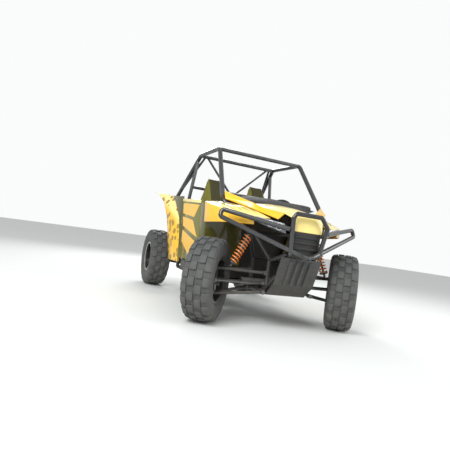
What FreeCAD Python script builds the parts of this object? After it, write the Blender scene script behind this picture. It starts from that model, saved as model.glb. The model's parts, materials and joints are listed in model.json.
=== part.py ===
import FreeCAD, Part
import math
import os
import Sketcher
from FreeCAD import Placement, Rotation, Vector

# A two-seat side-by-side off-road buggy. Millimetres. The front points along -Y, the
# vehicle's left side is +X and +Z is up. The origin is on the ground, in the middle.

os.makedirs("parts", exist_ok=True)
doc = FreeCAD.newDocument("SideBySide")

SIZES = {
    # running gear
    "wheelbase": 2300, "hub_x": 750, "kingpin_x": 685, "tyre_radius": 395, "tyre_width": 285,
    "bead_radius": 203, "rim_radius": 212, "rim_width": 224, "rim_wall": 7, "rim_web": 12,
    "rest_steer": 36, "spindle_radius": 20, "spindle_fit": 0.05, "joint_gap": 0.3,
    "ball_z": 95, "disc_radius": 125, "disc_thickness": 6, "arm_tube": 15, "shaft_radius": 10,
    "spring_radius": 42, "damper_radius": 24, "steer_arm": 112, "tie_rod_length": 400,
    "rack_bore": 31, "rack_wall": 5,
    # tubes
    "cage_tube": 25.5, "brace_tube": 19, "frame_tube": 19, "bumper_tube": 21,
    # cage
    "roof_z": 1800, "roof_half": 530, "roof_front_y": -380, "roof_rear_y": 300,
    "pillar_half": 600, "pillar_y": -860, "pillar_z": 1205, "cage_bend": 110,
    "post_y": 375, "post_bar_z": 1400,
    # body
    "belly_z": 318, "rail_z": 343, "rail_half": 230, "sill_half": 625, "sill_z": 353,
    "skid_half": 215, "sheet": 6, "tub_half": 600, "floor_z": 380, "tub_wall": 8,
    "door_x": 668, "door_thickness": 36, "seat_x": 300, "seat_half": 225,
    "dash_half": 500, "bed_half": 385, "bed_floor_z": 1047, "bed_top_z": 1270, "bed_wall": 8,
    "bed_front_y": 640, "bed_rear_y": 1490, "tail_y": 1620, "nose_y": -1620,
    # power train
    "engine_length": 520, "engine_width": 422, "engine_height": 520,
    "muffler_radius": 85, "muffler_length": 520, "hitch_hole": 9.5, "hitch_plate": 12,
}

sheet = doc.addObject("Spreadsheet::Sheet", "Sheet")
for row, (alias, number) in enumerate(SIZES.items(), 1):
    sheet.set(f"A{row}", alias)
    sheet.set(f"B{row}", str(number))
    sheet.setAlias(f"B{row}", alias)
doc.recompute()


class Size:
    """A length kept both as a sheet expression and as its present number."""

    def __init__(self, text, number):
        self.text = text
        self.number = number

    def join(self, sign, other):
        if not isinstance(other, Size):
            other = Size(str(other), other)
        numbers = {"+": self.number + other.number, "-": self.number - other.number,
                   "*": self.number * other.number}
        return Size(f"({self.text} {sign} {other.text})", numbers[sign])

    def __add__(self, other):
        return self.join("+", other)

    def __sub__(self, other):
        return self.join("-", other)

    def __mul__(self, other):
        return self.join("*", other)

    def __neg__(self):
        return self.join("*", -1)


def size(alias):
    return Size(f"Sheet.{alias}", float(sheet.get(alias)))


def val(alias):
    return float(sheet.get(alias))


NODES = []


def keep(obj):
    """Marks an object as a sub-part that is exported."""
    NODES.append(obj)
    return obj


# ------------------------------------------------------------------ sketches and bodies
def plane_of(body, role):
    for feature in body.Origin.OriginFeatures:
        if feature.Role == role:
            return feature


def sketch_polygon(body, role, corners, label):
    """A closed polygon whose corners are held by sheet expressions."""
    sketch = body.newObject("Sketcher::SketchObject", label)
    sketch.AttachmentSupport = [(plane_of(body, role), "")]
    sketch.MapMode = "FlatFace"
    corners = [[c if isinstance(c, Size) else Size(str(c), c) for c in corner]
               for corner in corners]
    spots = [Vector(a.number, b.number, 0) for a, b in corners]
    count = len(spots)
    sketch.addGeometry([Part.LineSegment(spots[i], spots[(i + 1) % count])
                        for i in range(count)])
    for i in range(count):
        sketch.addConstraint(Sketcher.Constraint("Coincident", i, 2, (i + 1) % count, 1))
    for i, corner in enumerate(corners):
        for kind, value in zip(("DistanceX", "DistanceY"), corner):
            index = sketch.addConstraint(Sketcher.Constraint(kind, -1, 1, i, 1, value.number))
            if "Sheet." in value.text:
                sketch.setExpression(f"Constraints[{index}]", value.text)
    return sketch


def new_body(label):
    body = doc.addObject("PartDesign::Body", label)
    body.Label = label
    return body


def pad(body, role, corners, length, label, both_ways=True):
    sketch = sketch_polygon(body, role, corners, label + "Sketch")
    feature = body.newObject("PartDesign::Pad", label)
    feature.Profile = sketch
    if both_ways:
        feature.Midplane = True
    feature.setExpression("Length", length.text)
    return feature


def pocket(body, role, corners, length, label, both_ways=True):
    sketch = sketch_polygon(body, role, corners, label + "Sketch")
    feature = body.newObject("PartDesign::Pocket", label)
    feature.Profile = sketch
    if both_ways:
        feature.Midplane = True
    feature.setExpression("Length", length.text)
    return feature


def revolve(body, corners, label):
    """Turns a profile drawn in the XY plane about the X axis."""
    sketch = sketch_polygon(body, "XY_Plane", corners, label + "Sketch")
    feature = body.newObject("PartDesign::Revolution", label)
    feature.Profile = sketch
    feature.ReferenceAxis = (sketch, ["H_Axis"])
    feature.Angle = 360
    return feature


# ------------------------------------------------------------------ free shapes
def tube(points, radius, bend=0.0):
    """A round bar along a path, with each inner corner bent to a radius."""
    points = [Vector(*p) for p in points]
    edges = []
    start = points[0]
    for before, corner, after in zip(points, points[1:], points[2:]):
        towards = (corner - before).normalize()
        away = (after - corner).normalize()
        half = math.acos(max(-1, min(1, towards.dot(away)))) / 2
        cut = bend * math.tan(half)
        first = corner - towards * cut
        last = corner + away * cut
        inward = (away - towards).normalize()
        middle = corner + inward * (bend / math.cos(half) - bend)
        edges.append(Part.LineSegment(start, first).toShape())
        edges.append(Part.Arc(first, middle, last).toShape())
        start = last
    edges.append(Part.LineSegment(start, points[-1]).toShape())
    ring = Part.Wire(Part.Circle(points[0], points[1] - points[0], radius).toShape())
    return Part.Wire(edges).makePipeShell([ring], True, True)


def rod(start, end, radius):
    start = Vector(*start)
    along = Vector(*end) - start
    return Part.makeCylinder(radius, along.Length, start, along)


def block(centre, extents):
    corner = Vector(*centre) - Vector(*extents) * 0.5
    return Part.makeBox(*extents, corner)


def weld(shapes):
    return shapes[0].multiFuse(shapes[1:]).removeSplitter() if len(shapes) > 1 else shapes[0]


def biggest(shape):
    return max(shape.Solids, key=lambda solid: solid.Volume)


def trim(shape, *tools):
    """Cuts the pieces that are already in place out of a shape."""
    for tool in tools:
        shape = shape.cut(tool)
    return biggest(shape)


def facets(loops):
    """A closed solid of flat triangles from quads and triangles of points."""
    faces = []
    for loop in loops:
        for i in range(1, len(loop) - 1):
            corner = [loop[0], loop[i], loop[i + 1]]
            area = (corner[1] - corner[0]).cross(corner[2] - corner[0]).Length
            if area > 1e-3:
                faces.append(Part.Face(Part.makePolygon(corner + corner[:1])))
    solid = Part.Solid(Part.Shell(faces))
    if solid.Volume < 0:
        solid.reverse()
    return solid


def sheet_panel(rows, inset):
    """A moulded panel: a grid of outer points and the same grid moved by the inset."""
    outer = [[Vector(*p) for p in row] for row in rows]
    inner = [[p + Vector(*inset) for p in row] for row in outer]
    loops = []
    for r in range(len(outer) - 1):
        for c in range(len(outer[0]) - 1):
            for grid, order in ((outer, 1), (inner, -1)):
                loop = [grid[r][c], grid[r][c + 1], grid[r + 1][c + 1], grid[r + 1][c]]
                loops.append(loop[::order])
    border = [(0, c) for c in range(len(outer[0]))]
    border += [(r, len(outer[0]) - 1) for r in range(1, len(outer))]
    border += [(len(outer) - 1, c) for c in range(len(outer[0]) - 2, -1, -1)]
    border += [(r, 0) for r in range(len(outer) - 2, 0, -1)]
    for (r, c), (r2, c2) in zip(border, border[1:] + border[:1]):
        loops.append([outer[r2][c2], outer[r][c], inner[r][c], inner[r2][c2]])
    return facets(loops)


def prism(section, x_from, x_to):
    """A solid between two X planes from a list of (y, z) corners."""
    ring = [Vector(x_from, y, z) for y, z in section]
    face = Part.Face(Part.makePolygon(ring + ring[:1]))
    return face.extrude(Vector(x_to - x_from, 0, 0))


def mirror_x(shape):
    return shape.mirror(Vector(), Vector(1, 0, 0))


def feature(label, shapes):
    """A sub-part whose shape is built here; it may hold several separate solids."""
    obj = doc.addObject("Part::Feature", label)
    obj.Label = label
    solids = [solid for shape in shapes for solid in shape.Solids]
    obj.Shape = solids[0] if len(solids) == 1 else Part.makeCompound(solids)
    obj.Placement = Placement()
    return keep(obj)


# ------------------------------------------------------------------ shared positions
AXLE_Y = val("wheelbase") / 2
AXLE_Z = val("tyre_radius")
HUB_X = val("hub_x")
PIN_X = val("kingpin_x")
GAP = val("joint_gap")
REST = -val("rest_steer")
FRONT = -AXLE_Y


def about_kingpin(side):
    """Turns a shape drawn with straight-ahead wheels to the stored steering angle."""
    return Placement(Vector(), Rotation(Vector(0, 0, 1), REST), Vector(side * PIN_X, FRONT, 0))


# ------------------------------------------------------------------ wheels
def make_tyre(label):
    body = new_body(label)
    half = size("tyre_width") * 0.5
    bead = size("bead_radius")
    top = size("tyre_radius")
    lip = size("rim_width") * 0.5 - size("rim_wall") - 0.3
    side = [(lip, bead), (lip, size("rim_radius") + 2), (half - 8, bead + 36),
            (half, bead + 95), (half - 5, top - 48), (half - 24, top - 12), (half - 80, top)]
    profile = side + [(-x, r) for x, r in reversed(side)]
    revolve(body, profile, label + "Turned")
    return body


def make_rim(label):
    """A deep dish rim: outer side towards +X. Hub, web, barrel and brake disc in one."""
    body = new_body(label)
    half = size("rim_width") * 0.5
    wall = size("rim_wall")
    bead = size("bead_radius") - 0.3
    inner = bead - wall
    bore = size("spindle_radius") + size("spindle_fit")
    web = size("rim_web")
    disc = size("disc_thickness")
    face = Size("50", 50.0)
    profile = [
        (Size("-10", -10.0), bore), (Size("55.3", 55.3), bore), (Size("55.3", 55.3), Size("0", 0.0)),
        (Size("62", 62.0), Size("0", 0.0)), (Size("62", 62.0), Size("40", 40.0)),
        (face, Size("52", 52.0)), (face, inner), (half, inner), (half, size("rim_radius")),
        (half - wall, size("rim_radius")), (half - wall, bead), (-half + wall, bead),
        (-half + wall, size("rim_radius")), (-half, size("rim_radius")), (-half, inner),
        (face - web, inner), (face - web, Size("48", 48.0)),
        (-Size("10", 10.0) + disc, Size("48", 48.0)), (-Size("10", 10.0) + disc, size("disc_radius")),
        (Size("-10", -10.0), size("disc_radius")),
    ]
    revolve(body, profile, label + "Turned")
    window = pocket(body, "YZ_Plane",
                    [(-26, 88), (26, 88), (38, 172), (-38, 172)],
                    Size("240", 240.0), label + "Window")
    ring = body.newObject("PartDesign::PolarPattern", label + "Windows")
    ring.Originals = [window]
    ring.Axis = (body.Origin.OriginFeatures[0], [""])
    ring.Angle = 360
    ring.Occurrences = 8
    body.Tip = ring
    return body


WHEELS = [("front_left", 1, FRONT), ("front_right", -1, FRONT),
          ("rear_left", 1, AXLE_Y), ("rear_right", -1, AXLE_Y)]
for name, side, axle_y in WHEELS:
    for maker, kind in ((make_tyre, "tyre"), (make_rim, "rim")):
        wheel = maker(f"{kind}_{name}")
        spot = Placement(Vector(side * HUB_X, axle_y, AXLE_Z),
                         Rotation(Vector(0, 0, 1), 0 if side > 0 else 180))
        if axle_y < 0:
            spot = about_kingpin(side).multiply(spot)
        wheel.Placement = spot
        keep(wheel)

# ------------------------------------------------------------------ frame
TUBE = val("frame_tube")
RAIL = val("rail_half")
RAIL_Z = val("rail_z")
SILL = val("sill_half")
SILL_Z = val("sill_z")
PILLAR = (val("pillar_half"), val("pillar_y"), val("pillar_z"))
CAGE_FOOT = (615, 880, 1300)
TOWER = (372, -1150, 905)
REAR_TOWER = (410, 760, 1020)
POST_Y = val("post_y")


def flip(point, side):
    return (side * point[0], point[1], point[2])


frame_tubes = []
for side in (1, -1):
    runs = [
        [(190, -1400, 500), (RAIL, -1255, RAIL_Z), (RAIL, 1000, RAIL_Z), (200, 1370, 470)],
        [(RAIL, -1325, 410), (RAIL, -1325, 650), (TOWER[0], -1185, 895)],
        [(RAIL, -975, RAIL_Z), (RAIL, -975, 650), (TOWER[0], -1115, 895)],
        [(TOWER[0], -1110, 900), (590, -880, 1165)],
        [(RAIL, -740, RAIL_Z), (SILL, -540, SILL_Z), (SILL, POST_Y, SILL_Z),
         (RAIL, 440, RAIL_Z)],
        [(RAIL, 440, RAIL_Z), (RAIL, 600, 650), (REAR_TOWER[0], REAR_TOWER[1], 1020)],
        [(REAR_TOWER[0], REAR_TOWER[1], 1020), (600, 870, 1270)],
        [(200, 1360, 460), (240, 1330, 1020), (REAR_TOWER[0], REAR_TOWER[1], 1020)],
        [(RAIL, -1325, 640), (150, -1500, 720)],
        [(240, 1330, 1000), (300, val("tail_y") - 40, 960)],
    ]
    for run in runs:
        frame_tubes.append(tube([flip(p, side) for p in run], TUBE, 45))
for y, z, half in ((-1262, RAIL_Z, RAIL), (-975, RAIL_Z, RAIL), (-1325, 640, RAIL),
                   (-975, 640, RAIL), (440, RAIL_Z, RAIL), (1000, RAIL_Z, RAIL),
                   (REAR_TOWER[1], 1020, REAR_TOWER[0]), (1330, 1000, 240), (1366, 466, 200),
                   (-1150, 905, TOWER[0]), (val("tail_y") - 42, 960, 300)):
    frame_tubes.append(rod((-half, y, z), (half, y, z), TUBE))
for side in (1, -1):
    frame_tubes.append(rod(flip((TOWER[0], -1195, 900), side), flip((TOWER[0], -1105, 900), side),
                           TUBE))
main_frame_shape = weld(frame_tubes)
hitch = block((0, 1493, 466), (70, 250, val("hitch_plate")))
hitch = hitch.cut(Part.makeCylinder(val("hitch_hole"), 100, Vector(0, 1590, 420)))
main_frame_shape = weld([main_frame_shape, hitch])
feature("main_frame", [main_frame_shape])

# ------------------------------------------------------------------ cage
CAGE = val("cage_tube")
BRACE = val("brace_tube")
ROOF = val("roof_z")
HALF = val("roof_half")
ROOF_FRONT = val("roof_front_y")
ROOF_REAR = val("roof_rear_y")
side_tube = tube([PILLAR, (HALF, ROOF_FRONT, ROOF), (HALF, ROOF_REAR, ROOF + 15), CAGE_FOOT],
                 CAGE, val("cage_bend"))
side_tubes = {1: side_tube.cut(main_frame_shape), -1: mirror_x(side_tube).cut(main_frame_shape)}
for side, name in ((1, "left"), (-1, "right")):
    feature(f"cage_side_{name}", [biggest(side_tubes[side])])

BAR_Z = val("post_bar_z")
posts = []
for side in (1, -1):
    post = tube([flip((SILL - 4, POST_Y, SILL_Z), side), flip((590, POST_Y, 1250), side),
                 flip((540, POST_Y, 1745), side)], 22, 300)
    posts.append(biggest(post.cut(side_tubes[side]).cut(main_frame_shape)))
feature("cage_posts", posts)

bars = [
    rod((-HALF, ROOF_FRONT + 8, ROOF - 6), (HALF, ROOF_FRONT + 8, ROOF - 6), 22),
    rod((-HALF, ROOF_REAR - 6, ROOF + 8), (HALF, ROOF_REAR - 6, ROOF + 8), 22),
    rod((-590, POST_Y, BAR_Z), (590, POST_Y, BAR_Z), BRACE),
]
for side in (1, -1):
    bars.append(rod((side * 440, ROOF_REAR, ROOF + 6), (side * 40, POST_Y, BAR_Z + 5), 15))
    bars.append(rod((side * 596, 740, 1400), (side * 470, ROOF_REAR + 4, ROOF), 15))
trimmed = []
for bar in bars:
    for other in list(side_tubes.values()) + posts + trimmed:
        bar = biggest(bar.cut(other))
    trimmed.append(bar)
feature("cage_bars", trimmed)

# ------------------------------------------------------------------ bumper
BUMP = val("bumper_tube")
hoop = tube([(-150, -1545, 720), (-185, -1588, 1050), (-160, -1590, 1090), (110, -1590, 1090),
             (185, -1588, 1000), (150, -1545, 720)], BUMP, 24)
wings = []
for side in (1, -1):
    path = [(195, -1570, 945), (735, -1250, 1052), (755, -1262, 985), (60, -1590, 722),
            (0, -1597, 706)]
    if side < 0:
        path[-1] = (0.6, -1597, 706)
    wing = tube([flip(p, side) for p in path], BUMP, 26)
    wing = biggest(wing.cut(hoop))
    wings.append(wing)
wings[0] = biggest(wings[0].cut(block((-200, -1500, 800), (400, 800, 800))))
wings[1] = biggest(wings[1].cut(block((200, -1500, 800), (400, 800, 800))))
bumper_solids = [biggest(hoop.cut(main_frame_shape))]
feature("bumper_hoop", bumper_solids)
feature("bumper_wings", [biggest(w.cut(main_frame_shape)) for w in wings])

# ------------------------------------------------------------------ skid plate and tub
skid = new_body("skid_plate")
belly = size("belly_z")
t = size("sheet")
pad(skid, "YZ_Plane",
    [(-1520, 690), (-1425, 430), (-1300, belly), (1040, belly), (1040, belly + t),
     (-1297, belly + t), (-1419, 434), (-1514, 693)], size("skid_half") * 2, "SkidPad")
keep(skid)

tub = new_body("cabin_tub")
floor = size("floor_z")
w = size("tub_wall")
pad(tub, "YZ_Plane",
    [(-730, 1130), (-655, 640), (-577, floor - w), (262, floor - w), (338, 640), (338, 1180),
     (338 - 8, 1180), (338 - 8, 642), (256, floor), (-572, floor), (-647, 642), (-722, 1132)],
    size("tub_half") * 2, "TubPad")
tunnel = pad(tub, "YZ_Plane", [(-575, floor - 2), (-540, 600), (-120, 600), (40, floor - 2)],
             Size("150", 150.0), "TunnelPad")
keep(tub)

risers = []
for side in (1, -1):
    seat_x = side * val("seat_x")
    risers.append(prism([(-260, val("floor_z")), (-240, 560), (150, 500), (150, val("floor_z"))],
                        seat_x - 170, seat_x + 170))
feature("seat_risers", risers)
feature("sills", [block((side * 636, -240, 425), (72, 650, 106)) for side in (1, -1)])

# ------------------------------------------------------------------ dash and cowl
dash = new_body("dashboard")
pad(dash, "YZ_Plane",
    [(-803, 1215), (-803, 1262), (-765, 1275), (-660, 1292), (-575, 1235), (-585, 1080), (-680, 1030),
     (-706, 1140)], size("dash_half") * 2, "DashPad")
keep(dash)

T = val("sheet")
cowl_rows = [
    [(-335, -1008, 1172), (-170, -1012, 1196), (0, -1014, 1202), (170, -1012, 1196),
     (335, -1008, 1172)],
    [(-430, -900, 1200), (-215, -900, 1232), (0, -900, 1240), (215, -900, 1232),
     (430, -900, 1200)],
    [(-540, -805, 1228), (-270, -808, 1268), (0, -810, 1280), (270, -808, 1268),
     (540, -805, 1228)],
]

hood_rows = [
    [(-160, -1548, 942), (-80, -1552, 940), (0, -1553, 940), (80, -1552, 940), (160, -1548, 942)],
    [(-165, -1530, 1058), (-84, -1540, 1066), (0, -1543, 1068), (84, -1540, 1066),
     (165, -1530, 1058)],
    [(-205, -1450, 1092), (-105, -1458, 1112), (0, -1460, 1118), (105, -1458, 1112),
     (205, -1450, 1092)],
    [(-275, -1210, 1130), (-140, -1212, 1160), (0, -1213, 1168), (140, -1212, 1160),
     (275, -1210, 1130)],
    [(-333, -1006, 1172), (-169, -1010, 1196), (0, -1012, 1202), (169, -1010, 1196),
     (333, -1006, 1172)],
]
hood_shape = sheet_panel(hood_rows, (0, 6, -T))
feature("hood", [hood_shape])
feature("cowl", [trim(sheet_panel(cowl_rows, (0, 2, -T)), hood_shape)])

grille_section = [(-1545, 934), (-1520, 700), (-1485, 700), (-1505, 930)]
grille = prism(grille_section, -150, 150).cut(main_frame_shape)
for bumper_bar in wings + [hoop]:
    grille = grille.cut(bumper_bar)
feature("nose_grille", [biggest(grille)])

# ------------------------------------------------------------------ lamps
lamp_solids = []
for side in (1, -1):
    face = [(215, -1498, 992), (455, -1404, 1026), (452, -1408, 980), (200, -1515, 905)]
    back = [(215, -1410, 992), (440, -1340, 1020), (440, -1344, 980), (205, -1410, 905)]
    front_ring = [Vector(*flip(p, side)) for p in face]
    back_ring = [Vector(*flip(p, side)) for p in back]
    loops = [front_ring, back_ring[::-1]]
    for i in range(4):
        j = (i + 1) % 4
        loops.append([front_ring[j], front_ring[i], back_ring[i], back_ring[j]])
    if side < 0:
        loops = [loop[::-1] for loop in loops]
    lamp = facets(loops)
    for bumper_bar in wings + [hoop]:
        lamp = lamp.cut(bumper_bar)
    lamp_solids.append(biggest(lamp))
feature("headlights", lamp_solids)

# ------------------------------------------------------------------ wing panels
fin_rows = [
    [(206, -1448, 1086), (277, -1208, 1126), (372, -1105, 1176), (588, -856, 1272)],
    [(262, -1440, 1030), (335, -1190, 1092), (430, -1070, 1134), (606, -950, 1186)],
]
fender_rows = [
    [(300, -1370, 1030), (380, -1375, 1022), (470, -1372, 1008), (462, -1368, 955)],
    [(338, -1195, 1084), (470, -1200, 1066), (640, -1195, 1040), (628, -1192, 950)],
    [(434, -1062, 1128), (560, -1050, 1112), (695, -1010, 1086), (684, -1008, 945)],
    [(512, -880, 1160), (612, -880, 1150), (722, -850, 1120), (708, -850, 940)],
    [(528, -712, 1168), (622, -705, 1165), (724, -700, 1146), (708, -700, 938)],
]
arch_rows = [
    [(350, -762, 1120), (560, -752, 1132), (698, -716, 1138), (700, -600, 1140),
     (698, -482, 1150)],
    [(300, -752, 940), (520, -742, 940), (688, -706, 934), (692, -600, 934), (692, -532, 934)],
    [(262, -716, 700), (470, -708, 700), (672, -672, 700), (678, -600, 700), (678, -580, 700)],
    [(240, -684, 520), (440, -680, 500), (650, -644, 480), (662, -628, 480), (662, -620, 480)],
]
rear_rows = [
    [(690, 178, 430), (722, 330, 430), (724, 490, 432)],
    [(696, 222, 700), (738, 400, 700), (752, 575, 700)],
    [(704, 292, 955), (752, 470, 960), (782, 656, 970)],
    [(704, 560, 1150), (756, 690, 1160), (802, 860, 1180)],
    [(704, 800, 1290), (762, 980, 1310), (826, 1180, 1316)],
    [(690, 1190, 1318), (755, 1320, 1330), (838, 1470, 1350)],
]
scoop_rows = [
    [(694, 184, 436), (698, 228, 700), (702, 296, 953), (700, 556, 1146), (700, 790, 1284)],
    [(674, 160, 436), (674, 212, 700), (674, 276, 953), (668, 320, 1180), (668, 350, 1262)],
]
top_rows = [
    [(668, 352, 1262), (640, 352, 1262)],
    [(700, 792, 1286), (668, 800, 1360)],
]


def side_panel(rows, side, inset):
    outer = [[flip(p, side) for p in row] for row in rows]
    return sheet_panel(outer, (side * inset[0], inset[1], inset[2]))


doc.recompute()
fins = []
stays = []
for side, name in ((1, "left"), (-1, "right")):
    lamp = lamp_solids[0 if side > 0 else 1]
    fin = trim(side_panel(fin_rows, side, (-10, 4, -8)), side_tubes[side], lamp)
    fins.append(fin)
    fender = trim(side_panel(fender_rows, side, (-5, 1, -5)), main_frame_shape,
                  side_tubes[side], lamp, fin)
    arch = trim(side_panel(arch_rows, side, (-5, 14, 0)), fender, main_frame_shape, tub.Shape)
    rear = side_panel(rear_rows, side, (-6, 3, -3))
    scoop = trim(side_panel(scoop_rows, side, (-6, 0, -2)), rear)
    feature(f"front_fender_{name}", [fender])
    feature(f"arch_panel_{name}", [arch])
    feature(f"rear_fender_{name}", [rear])
    feature(f"side_scoop_{name}", [scoop])
    for start, end in (((596, POST_Y, 620), (745, POST_Y, 620)),
                       ((606, 862, 1262), (720, 850, 1262)),
                       ((606, POST_Y, 780), (690, 300, 800))):
        stay = rod(flip(start, side), flip(end, side), 8)
        pieces = stay.cut(Part.makeCompound([posts[0], posts[1], rear, scoop, main_frame_shape]))
        stays.append(biggest(pieces))
feature("hood_fins", fins)
feature("panel_stays", stays)

# ------------------------------------------------------------------ doors
for side, name in ((1, "left"), (-1, "right")):
    door = new_body(f"door_{name}")
    # the YZ plane sketch reads +Y across and +Z up
    pad(door, "YZ_Plane", [(-588, 486), (-446, 1176), (290, 1226), (250, 953), (146, 486)],
        size("door_thickness"), f"DoorPad{name}")
    middle = val("door_x") - val("door_thickness") / 2 + 18
    door.Placement = Placement(Vector(side * middle, 0, 0), Rotation())
    keep(door)

# ------------------------------------------------------------------ tail lamps
tail = [block((side * 400, val("bed_rear_y") + 12, 1190), (110, 24, 60)) for side in (1, -1)]
feature("taillights", tail)

# ------------------------------------------------------------------ cargo bed
bed = new_body("cargo_bed")
bf = size("bed_front_y")
br = size("bed_rear_y")
half_bed = size("bed_half")
wall = size("bed_wall")
pad(bed, "YZ_Plane",
    [(bf, size("bed_floor_z") - wall), (br, size("bed_floor_z") - wall), (br, size("bed_top_z")),
     (bf, size("bed_top_z"))], half_bed * 2, "BedPad")
pocket(bed, "YZ_Plane",
       [(bf + wall, size("bed_floor_z")), (br - wall, size("bed_floor_z")),
        (br - wall, size("bed_top_z") + 5), (bf + wall, size("bed_top_z") + 5)],
       half_bed * 2 - wall * 2, "BedHollow")
keep(bed)

# ------------------------------------------------------------------ seats
for side, name in ((1, "left"), (-1, "right")):
    x = side * val("seat_x")
    h = val("seat_half")
    cushion = prism([(-290, 560), (-305, 640), (-270, 690), (120, 640), (160, 600), (160, 500),
                     (150, 500.3), (-240, 560.3)], x - h, x + h)
    rings = []
    for y, z, half, rear in ((150, 560, 225, 285), (165, 700, 225, 322), (235, 1150, 215, 322),
                             (262, 1300, 160, 326), (290, 1500, 128, 328), (300, 1560, 100, 328)):
        rings.append([Vector(x - half, y, z), Vector(x + half, y, z),
                      Vector(x + half * 0.85, rear, z), Vector(x - half * 0.85, rear, z)])
    loops = [rings[0][::-1], rings[-1]]
    for low, high in zip(rings, rings[1:]):
        for i in range(4):
            j = (i + 1) % 4
            loops.append([low[i], low[j], high[j], high[i]])
    back = facets(loops)
    cushion = biggest(cushion.cut(back))
    feature(f"seat_{name}", [cushion, back])

# ------------------------------------------------------------------ power train
engine = doc.addObject("Part::Box", "engine")
engine.Label = "engine"
engine.setExpression("Length", "Sheet.engine_width")
engine.setExpression("Width", "Sheet.engine_length")
engine.setExpression("Height", "Sheet.engine_height")
engine.Placement = Placement(Vector(-val("engine_width") / 2, 455, 420), Rotation())
keep(engine)

muffler = [rod((-val("muffler_length") / 2, 1440, 800), (val("muffler_length") / 2, 1440, 800),
               val("muffler_radius"))]
muffler.append(tube([(120, 1015, 700), (120, 1180, 700), (120, 1300, 800), (120, 1380, 800)], 22,
                    60))
muffler.append(rod((200, 1440, 800), (200, 1560, 760), 26))
feature("muffler", [trim(weld(muffler), main_frame_shape)])

SHAFT = val("shaft_radius")
front_box = block((0, -1168, 394), (220, 150, 140))
front_parts = [front_box]
rear_parts = [block((0, 1130, 415), (260, 230, 160))]
for side in (1, -1):
    front_parts.append(rod((side * 105, FRONT, AXLE_Z), (side * PIN_X, FRONT, AXLE_Z), SHAFT))
    front_parts.append(Part.makeSphere(30, Vector(side * PIN_X, FRONT, AXLE_Z)))
    front_parts.append(Part.makeCone(42, 20, 80, Vector(side * 108, FRONT, AXLE_Z),
                                     Vector(side, 0, 0)))
    rear_parts.append(rod((side * 125, AXLE_Y, AXLE_Z), (side * 590, AXLE_Y, AXLE_Z), SHAFT))
    rear_parts.append(Part.makeCone(42, 20, 80, Vector(side * 128, AXLE_Y, AXLE_Z),
                                    Vector(side, 0, 0)))
    rear_parts.append(Part.makeCone(20, 40, 70, Vector(side * 518, AXLE_Y, AXLE_Z),
                                    Vector(side, 0, 0)))
feature("front_driveline", [weld(front_parts)])
feature("rear_driveline", [weld(rear_parts).cut(main_frame_shape)])

# ------------------------------------------------------------------ front suspension
ARM = val("arm_tube")
BALL = val("ball_z")
PINR = 8.0


def front_arms(side):
    solids = []
    for level, inner_z in ((-1, 332), (1, 520)):
        top = AXLE_Z + level * (BALL + GAP)
        base = top if level > 0 else top - 38
        cup = Part.makeCylinder(20, 38, Vector(side * PIN_X, FRONT, base))
        middle = top + 22 if level > 0 else top - 27
        legs = [cup]
        for way in (-1, 1):
            pivot = Vector(side * 262, FRONT + way * 170, inner_z + (8 if level < 0 else 0))
            legs.append(rod((side * PIN_X, FRONT, middle), tuple(pivot), ARM))
            legs.append(rod((pivot.x, pivot.y - 26, pivot.z), (pivot.x, pivot.y + 26, pivot.z), 20))
        if level > 0:
            legs.append(block((side * 540, FRONT, 517), (44, 130, 22)))
        arm = weld(legs)
        hole = Part.makeCylinder(PINR + 0.05, 22, Vector(side * PIN_X, FRONT,
                                 top - (0 if level > 0 else 22)))
        arm = arm.cut(hole).cut(main_frame_shape)
        solids.append(biggest(arm))
    return solids


def knuckle(side):
    """Upright, spindle, open drive-joint cup, steering arm and brake caliper."""
    centre = Vector(side * PIN_X, FRONT, AXLE_Z)
    shapes = [block((centre.x, centre.y, centre.z), (40, 62, 2 * BALL)),
              Part.makeSphere(48, centre),
              rod((centre.x + side * 20, FRONT, AXLE_Z),
                  (centre.x + side * 115, FRONT, AXLE_Z), val("spindle_radius")),
              block((centre.x + side * 34, FRONT + 62, AXLE_Z), (16, 100, 60)),
              block((centre.x + side * 62, FRONT + 112, AXLE_Z), (72, 50, 100)),
              tube([(centre.x, FRONT + 20, AXLE_Z - 45),
                    (centre.x - side * 12, FRONT + val("steer_arm"), AXLE_Z - 45)], 11)]
    shapes.append(Part.makeCylinder(14, 60, Vector(centre.x - side * 12,
                                    FRONT + val("steer_arm"), AXLE_Z - 62)))
    body = weld(shapes)
    slot_x = centre.x + side * (HUB_X - PIN_X - 7)
    slot = block((slot_x, FRONT + 80, AXLE_Z), (17, 120, 140))
    body = body.cut(slot)
    spindle_fix = rod((centre.x + side * 30, FRONT, AXLE_Z),
                      (centre.x + side * 115, FRONT, AXLE_Z), val("spindle_radius"))
    body = weld([body, spindle_fix])
    pins = [Part.makeCylinder(PINR, 2 * BALL + 40, Vector(centre.x, FRONT, AXLE_Z - BALL - 20))]
    body = weld([body] + pins)
    body = body.cut(Part.makeSphere(35.3, centre))
    cone = Part.makeCone(4.3, 172, 78, centre - Vector(side * 2, 0, 0), Vector(-side, 0, 0))
    body = body.cut(cone)
    return biggest(body)


RACK_Y = FRONT + 96.8
PIN_TURNED = {}
for side, name in ((1, "left"), (-1, "right")):
    feature(f"front_arms_{name}", front_arms(side))
    upright = knuckle(1)
    obj = feature(f"knuckle_{name}", [upright if side > 0 else mirror_x(upright)])
    obj.Placement = about_kingpin(side)
    local = Vector(side * (PIN_X - 12), FRONT + val("steer_arm"), AXLE_Z - 2)
    PIN_TURNED[side] = about_kingpin(side).multVec(local)

for side, name in ((1, "left"), (-1, "right")):
    pin = PIN_TURNED[side]
    eye = Part.makeCylinder(14, 18, Vector(pin.x, pin.y, AXLE_Z - 2 + GAP))
    stem = rod((pin.x, pin.y, AXLE_Z + 7), (pin.x - side * val("tie_rod_length"), pin.y,
               AXLE_Z + 7), 9)
    feature(f"tie_rod_{name}", [weld([eye, stem])])

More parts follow.
